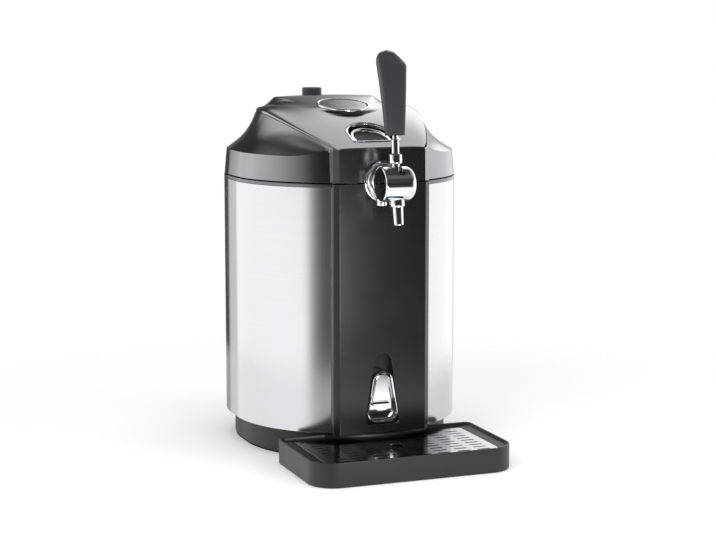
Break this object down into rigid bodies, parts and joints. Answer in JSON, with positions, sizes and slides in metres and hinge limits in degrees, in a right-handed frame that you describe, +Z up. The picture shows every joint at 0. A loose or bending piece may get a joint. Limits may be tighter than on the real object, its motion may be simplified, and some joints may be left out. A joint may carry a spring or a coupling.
{
  "type": "mini keg beer dispenser",
  "caption": "Oval cooled beer dispenser for a five litre keg, with steel side skins, a hinged domed lid, a lever tap, a bottle opener and a slide-out drip tray.",
  "frame": {"origin": "on the floor under the middle of the oval housing, at the centre of the foot ring's resting face", "axes": "+Z up, the tap and drip tray face -Y, +X is to the right of someone who faces the tap"},
  "size_m": [0.2648, 0.408, 0.4636],
  "materials": {
    "steel": "vertical brushed stainless steel",
    "black_shell": "fine satin black moulding",
    "black_panel": "satin black front moulding",
    "black_base": "plain black moulding",
    "grey_ring": "grey plastic ring",
    "chrome": "polished chrome plating",
    "window": "gloss black touch window",
    "grip": "satin black grip",
    "knob": "ribbed dark knob",
    "grid_metal": "dark polished steel",
    "tray": "black tray with a satin side",
    "rubber": "soft black rubber",
    "aluminium": "plain drawn aluminium",
    "liner": "pale inner moulding",
    "foam": "rigid cream foam",
    "board": "green circuit board",
    "ceramic": "white ceramic wafer",
    "screw_steel": "zinc plated screws",
    "brass": "turned brass valve",
    "line": "clear food hose"
  },
  "bodies": {
    "housing": {"plinth": "black_base", "foot_ring": "rubber", "base_screws": "screw_steel", "chassis": "black_base", "steel_skin_left": "steel", "steel_skin_right": "steel", "top_ring": "grey_ring", "front_panel": "black_panel", "rear_cover": "black_base", "rear_screws": "screw_steel", "bottle_opener": "chrome", "opener_screws": "screw_steel", "foam_jacket": "foam", "keg_tub": "aluminium", "tub_rim": "liner", "cold_plate": "aluminium", "peltier_module": "ceramic", "heat_sink": "aluminium", "fan_frame": "black_base", "control_board": "board", "power_socket": "black_base", "hinge_brackets": "black_base", "hinge_pins": "screw_steel", "latch_keeper": "screw_steel", "tap_rosette": "chrome", "tap_shank": "chrome", "shank_nut": "screw_steel", "tap_barrel": "chrome", "barrel_cap": "chrome", "tap_spout": "chrome", "vent_lug": "chrome", "line_elbow": "liner", "beer_line": "line", "keg_coupler": "black_base", "tray_rails": "black_base"},
    "lid": {"lid_shell": "black_shell", "lid_cover": "black_shell", "display_rim": "chrome", "display_window": "window", "touch_board": "board", "lid_liner": "liner", "lid_foam": "foam", "lid_gasket": "rubber", "lid_hinge_arms": "black_base", "lid_screws": "screw_steel", "latch_bezel": "chrome", "latch_pocket": "black_base", "regulator_body": "aluminium"},
    "latch": {"latch_paddle": "chrome"},
    "knob": {"regulator_spindle": "screw_steel", "regulator_knob": "knob"},
    "lever": {"tap_plug": "brass", "plug_seals": "rubber", "lever_stem": "chrome", "handle_grip": "grip"},
    "fan": {"fan_rotor": "black_base"},
    "tray": {"drip_tray": "tray"},
    "grid": {"drip_grid": "grid_metal"}
  },
  "joints": [
    {"name": "lid_hinge", "type": "hinge", "parent": "housing", "child": "lid", "pos_m": [0, 0.152, 0.316], "axis": [-1, 0, 0], "range_deg": [0, 80]},
    {"name": "latch_press", "type": "hinge", "parent": "lid", "child": "latch", "pos_m": [0, -0.11428, 0.35283], "axis": [-1, 0, 0], "range_deg": [0, 8], "stiffness_Nm_per_rad": 0.03, "springref_deg": -20.05},
    {"name": "knob_turn", "type": "hinge", "parent": "lid", "child": "knob", "pos_m": [0, 0.094, 0.4], "axis": [0, 0, 1], "range_deg": [0, 270]},
    {"name": "tap_lever", "type": "hinge", "parent": "housing", "child": "lever", "pos_m": [0, -0.18, 0.3175], "axis": [1, 0, 0], "range_deg": [0, 40]},
    {"name": "fan_spin", "type": "hinge", "parent": "housing", "child": "fan", "pos_m": [0, 0.14, 0.15], "axis": [0, 1, 0], "continuous": true},
    {"name": "tray_slide", "type": "slide", "parent": "housing", "child": "tray", "axis": [0, -1, 0], "range_m": [0, 0.1]},
    {"name": "grid_lift", "type": "slide", "parent": "tray", "child": "grid", "axis": [0, 0, 1], "range_m": [0, 0.004]}
  ]
}
